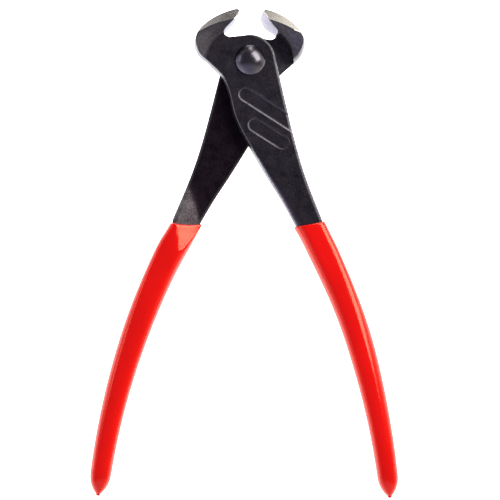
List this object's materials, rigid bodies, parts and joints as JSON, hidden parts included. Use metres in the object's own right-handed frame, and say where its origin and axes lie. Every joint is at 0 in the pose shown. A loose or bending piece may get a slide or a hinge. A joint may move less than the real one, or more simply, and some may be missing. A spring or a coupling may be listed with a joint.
{
  "type": "end cutting nippers",
  "caption": "End cutting nippers with crossed black levers on a domed rivet, wide flared jaws with ground cutting edges, and bowed handles with dipped red grips.",
  "frame": {"origin": "on the rivet's axis, at the flat back of the joint", "axes": "+Z along the rivet from the flat back to the domed head, +Y from the handles to the jaws, +X across the tool to the right handle"},
  "size_m": [0.1208, 0.1907, 0.026],
  "materials": {
    "lever_steel": "black oxide forging with ground bright cutting edges",
    "rivet_steel": "gloss black dome",
    "grip_plastic": "dipped, glossy"
  },
  "bodies": {
    "front_half": {"front_lever": "lever_steel", "pivot_rivet": "rivet_steel", "right_grip": "grip_plastic"},
    "rear_half": {"rear_lever": "lever_steel", "left_grip": "grip_plastic"}
  },
  "joints": [
    {"name": "jaw_hinge", "type": "hinge", "parent": "front_half", "child": "rear_half", "pos_m": [0, 0, 0.0065], "axis": [0, 0, -1], "range_deg": [-27.3, 36]}
  ]
}
